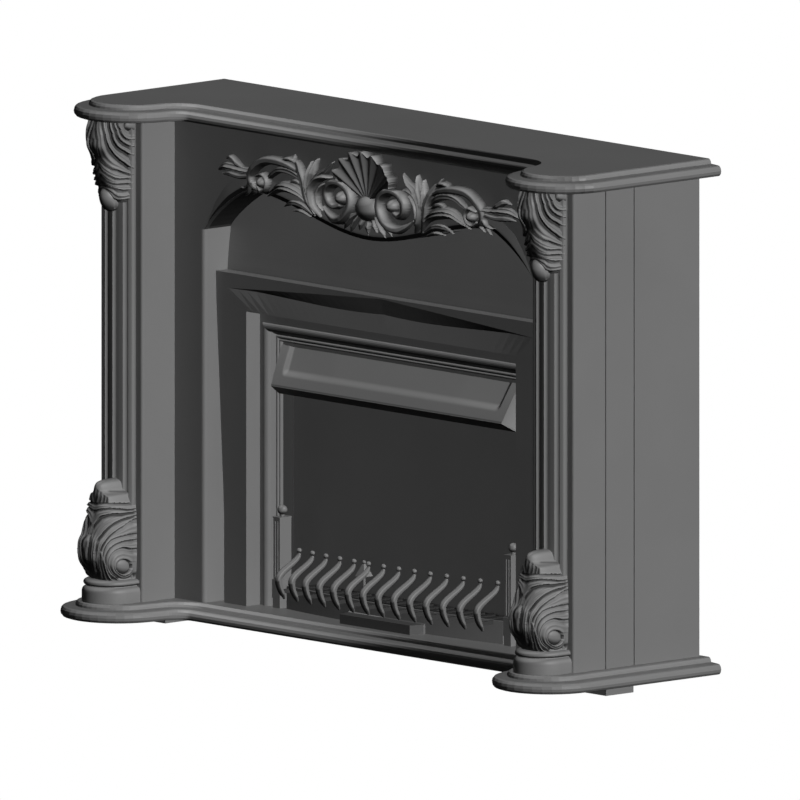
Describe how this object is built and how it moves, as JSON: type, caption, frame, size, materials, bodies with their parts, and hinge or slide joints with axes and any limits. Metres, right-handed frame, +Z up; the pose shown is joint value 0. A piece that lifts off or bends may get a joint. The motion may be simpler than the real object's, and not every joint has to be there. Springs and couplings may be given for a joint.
{
  "type": "cast iron fireplace",
  "caption": "Cast iron fireplace: mantel surround with fluted pilasters and carved brackets, and an open-fire insert with canopy, bowed fret, grate, ash pan and damper.",
  "frame": {"origin": "on the floor, under the middle of the overall box", "axes": "+Z up, -Y towards the room, +X to the right of a person facing the fire"},
  "size_m": [1.516, 0.474, 1.063],
  "materials": {
    "surround_iron": "even dark grey stove finish",
    "insert_iron": "dark grey stove finish, slightly sooted",
    "sheet_steel": "heat-proof paint on sheet steel",
    "plain_steel": "plain steel"
  },
  "bodies": {
    "surround": {"base_moulding": "surround_iron", "feet_front": "surround_iron", "feet_rear": "surround_iron", "mantel_shelf": "surround_iron", "jamb_left": "surround_iron", "jamb_right": "surround_iron", "frieze": "surround_iron", "arch_soffit": "surround_iron", "side_panel_left": "surround_iron", "side_panel_right": "surround_iron", "back_panel": "sheet_steel", "pilaster_left": "surround_iron", "pilaster_right": "surround_iron", "shaft_left": "surround_iron", "shaft_right": "surround_iron", "upper_bracket_left": "surround_iron", "upper_bracket_right": "surround_iron", "lower_bracket_left": "surround_iron", "lower_bracket_right": "surround_iron", "pedestal_left": "surround_iron", "pedestal_right": "surround_iron", "shell_crest": "surround_iron", "crest_scrolls": "surround_iron", "scroll_left": "surround_iron", "scroll_right": "surround_iron", "register_plate": "insert_iron", "trim_head": "insert_iron", "trim_stile_left": "insert_iron", "trim_stile_right": "insert_iron", "firebox_frame": "insert_iron", "cheek_left": "insert_iron", "cheek_right": "insert_iron", "fireback": "insert_iron", "canopy": "insert_iron", "canopy_lugs": "insert_iron", "post_left": "insert_iron", "post_right": "insert_iron", "post_balls": "insert_iron", "grate_bearers": "insert_iron", "smoke_box": "sheet_steel", "flue_spigot": "sheet_steel", "damper_lugs": "plain_steel", "casing_bolts": "plain_steel"},
    "fret": {"fret_apron": "insert_iron", "fret_bars": "insert_iron", "fret_balls": "insert_iron"},
    "ash_tray": {"ash_pan": "sheet_steel", "ash_pan_front": "insert_iron"},
    "riddling_grate": {"grate": "insert_iron", "riddling_knob": "insert_iron"},
    "damper": {"damper_flap": "insert_iron", "damper_spindle": "plain_steel"}
  },
  "joints": [
    {"name": "fret_lift", "type": "slide", "parent": "surround", "child": "fret", "axis": [0, 0, 1], "range_m": [0, 0.1]},
    {"name": "ash_pan_slide", "type": "slide", "parent": "surround", "child": "ash_tray", "axis": [0, -1, 0], "range_m": [0, 0.1]},
    {"name": "grate_riddle", "type": "slide", "parent": "surround", "child": "riddling_grate", "axis": [1, 0, 0], "range_m": [-0.012, 0.012]},
    {"name": "damper_turn", "type": "hinge", "parent": "surround", "child": "damper", "pos_m": [0, 0.149, 0.613], "axis": [-1, 0, 0], "range_deg": [0, 65]}
  ]
}
